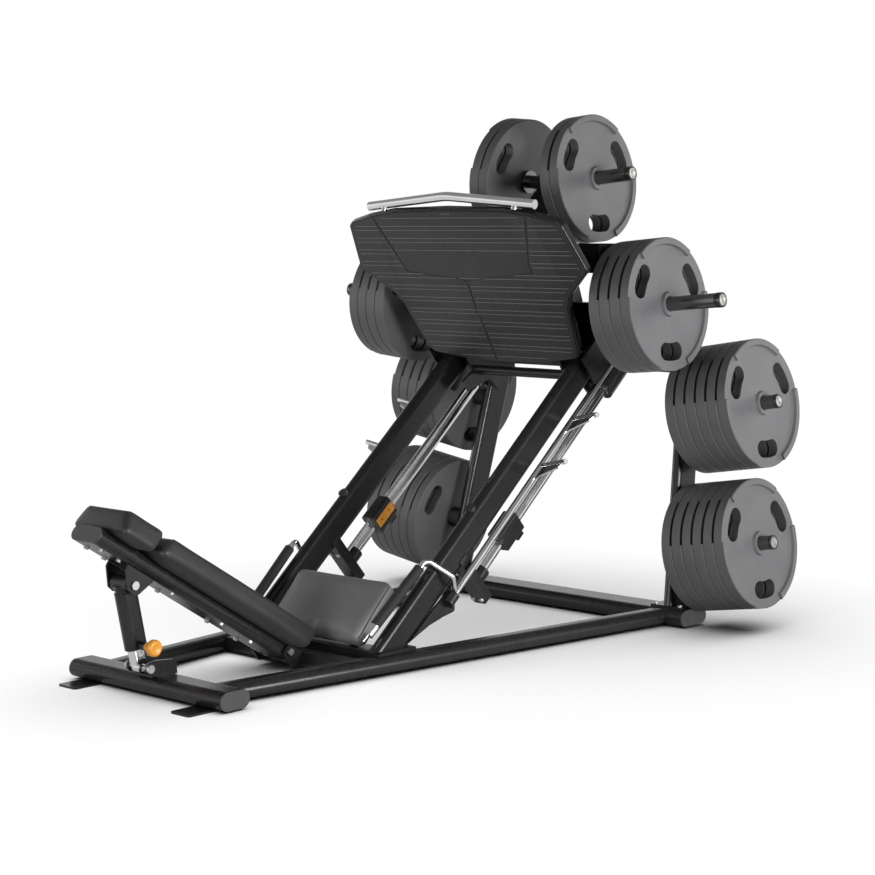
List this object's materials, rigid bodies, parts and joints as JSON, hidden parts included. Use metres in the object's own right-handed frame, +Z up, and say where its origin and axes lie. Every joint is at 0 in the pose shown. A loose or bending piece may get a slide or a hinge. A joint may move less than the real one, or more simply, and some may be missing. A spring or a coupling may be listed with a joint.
{
  "type": "leg press machine",
  "caption": "Angled plate-loaded leg press with sliding footplate carriage, tilting backrest, safety stops and removable weight plates.",
  "frame": {"origin": "centre of the bounding box in X and Y, at floor level", "axes": "+X to the right seen from the backrest, +Y from the backrest end to the weight storage end, +Z up"},
  "size_m": [1.781, 2.5712, 1.7928],
  "materials": {
    "frame_black": "satin black powder coat",
    "footplate_black": "moulded tread with fine ridges",
    "cover_black": "semi-gloss",
    "cap_grey": "matt",
    "plug_black": "matt",
    "chrome": "polished",
    "zinc": "zinc plated",
    "horn_steel": "satin",
    "foam": "foam",
    "orange": "semi-gloss",
    "vinyl": "padded vinyl",
    "plate_rubber": "satin"
  },
  "bodies": {
    "frame": {"front_crossmember": "frame_black", "rear_crossmember": "frame_black", "crossmember_end_caps": "cap_grey", "base_rails": "frame_black", "inner_crossmembers": "frame_black", "floor_feet": "frame_black", "upright_left": "frame_black", "upright_right": "frame_black", "upright_plugs": "plug_black", "storage_posts": "frame_black", "rear_upper_frame": "frame_black", "storage_horns": "horn_steel", "guide_rods": "chrome", "index_rods": "chrome", "rod_mounts": "frame_black", "stop_sockets": "frame_black", "frame_bolts": "zinc", "seat_frame": "frame_black", "seat_pad": "vinyl", "backrest_hinge_lugs": "frame_black", "strut_base_bracket": "frame_black", "pivot_pins": "zinc"},
    "stop_right": {"stop_shaft_right": "chrome", "stop_handle_right": "chrome", "handle_grip_right": "foam"},
    "stop_left": {"stop_shaft_left": "chrome", "stop_handle_left": "chrome", "handle_grip_left": "foam"},
    "block_right": {"stop_block_right": "frame_black", "stop_index_plate_right": "orange"},
    "block_left": {"stop_block_left": "frame_black", "stop_index_plate_left": "orange"},
    "carriage": {"footplate": "footplate_black", "footplate_bar": "chrome", "carriage_side_plates": "frame_black", "carriage_cross_tube": "frame_black", "horn_beams": "frame_black", "upper_beam": "frame_black", "top_mast": "frame_black", "carriage_horns": "horn_steel", "bearing_housings": "frame_black", "linear_bushings": "zinc", "carriage_covers": "cover_black"},
    "backrest": {"backrest_beam": "frame_black", "backrest_end_cap": "cap_grey", "backrest_strut_ears": "frame_black", "backrest_hardware": "zinc", "headrest_pad": "vinyl", "back_pad": "vinyl"},
    "strut_outer": {"strut_outer_tube": "frame_black"},
    "strut_inner": {"strut_inner_bar": "chrome"},
    "pull_knob": {"pop_pin_knob": "orange"},
    "storage_upper_stack_right": {"storage_upper_plates_right": "plate_rubber"},
    "storage_upper_stack_left": {"storage_upper_plates_left": "plate_rubber"},
    "storage_lower_stack_right": {"storage_lower_plates_right": "plate_rubber"},
    "storage_lower_stack_left": {"storage_lower_plates_left": "plate_rubber"},
    "carriage_middle_stack_right": {"carriage_middle_plates_right": "plate_rubber"},
    "carriage_middle_stack_left": {"carriage_middle_plates_left": "plate_rubber"},
    "carriage_top_stack_right": {"carriage_top_plates_right": "plate_rubber"},
    "carriage_top_stack_left": {"carriage_top_plates_left": "plate_rubber"}
  },
  "joints": [
    {"name": "carriage_slide", "type": "slide", "parent": "frame", "child": "carriage", "axis": [0, 0.7593, 0.6508], "range_m": [-0.46, 0.22]},
    {"name": "backrest_tilt", "type": "hinge", "parent": "frame", "child": "backrest", "pos_m": [0, -0.54499, 0.06534], "axis": [1, 0, 0], "range_deg": [-9, 2]},
    {"name": "strut_swing", "type": "hinge", "parent": "backrest", "child": "strut_outer", "pos_m": [0, -1.13733, 0.35], "axis": [1, 0, 0], "range_deg": [-3.2, 1.2]},
    {"name": "strut_telescope", "type": "slide", "parent": "strut_outer", "child": "strut_inner", "axis": [0, 0.2049, -0.9788], "range_m": [-0.022, 0.086]},
    {"name": "pull_knob_slide", "type": "slide", "parent": "strut_outer", "child": "pull_knob", "axis": [1, 0, 0], "range_m": [0, 0.012], "stiffness_N_per_m": 900, "springref_m": -0.01},
    {"name": "stop_handle_turn_right", "type": "hinge", "parent": "frame", "child": "stop_right", "pos_m": [0.335, 0.23837, 0.46107], "axis": [0, 0.7593, 0.6508], "range_deg": [0, 35]},
    {"name": "stop_block_slide_right", "type": "slide", "parent": "frame", "child": "block_right", "axis": [0, 0.7593, 0.6508], "range_m": [-0.09, 0.15]},
    {"name": "stop_handle_turn_left", "type": "hinge", "parent": "frame", "child": "stop_left", "pos_m": [-0.335, 0.23837, 0.46107], "axis": [0, -0.7593, -0.6508], "range_deg": [0, 35]},
    {"name": "stop_block_slide_left", "type": "slide", "parent": "frame", "child": "block_left", "axis": [0, 0.7593, 0.6508], "range_m": [-0.09, 0.15]},
    {"name": "storage_upper_off_right", "type": "slide", "parent": "frame", "child": "storage_upper_stack_right", "axis": [0.9872, 0, 0.1592], "range_m": [0, 0.34]},
    {"name": "storage_upper_off_left", "type": "slide", "parent": "frame", "child": "storage_upper_stack_left", "axis": [-0.9872, 0, 0.1592], "range_m": [0, 0.34]},
    {"name": "storage_lower_off_right", "type": "slide", "parent": "frame", "child": "storage_lower_stack_right", "axis": [0.9872, 0, 0.1592], "range_m": [0, 0.33]},
    {"name": "storage_lower_off_left", "type": "slide", "parent": "frame", "child": "storage_lower_stack_left", "axis": [-0.9872, 0, 0.1592], "range_m": [0, 0.33]},
    {"name": "carriage_middle_off_right", "type": "slide", "parent": "carriage", "child": "carriage_middle_stack_right", "axis": [0.9959, 0, 0.0906], "range_m": [0, 0.4]},
    {"name": "carriage_middle_off_left", "type": "slide", "parent": "carriage", "child": "carriage_middle_stack_left", "axis": [-0.9959, 0, 0.0906], "range_m": [0, 0.4]},
    {"name": "carriage_top_off_right", "type": "slide", "parent": "carriage", "child": "carriage_top_stack_right", "axis": [0.9959, 0, 0.0906], "range_m": [0, 0.25]},
    {"name": "carriage_top_off_left", "type": "slide", "parent": "carriage", "child": "carriage_top_stack_left", "axis": [-0.9959, 0, 0.0906], "range_m": [0, 0.25]}
  ],
  "couplings": [
    {"joint": "strut_swing", "follows": "backrest_tilt", "ratio": 0.32382},
    {"joint": "strut_telescope", "follows": "backrest_tilt", "m_per_rad": -0.53001}
  ]
}
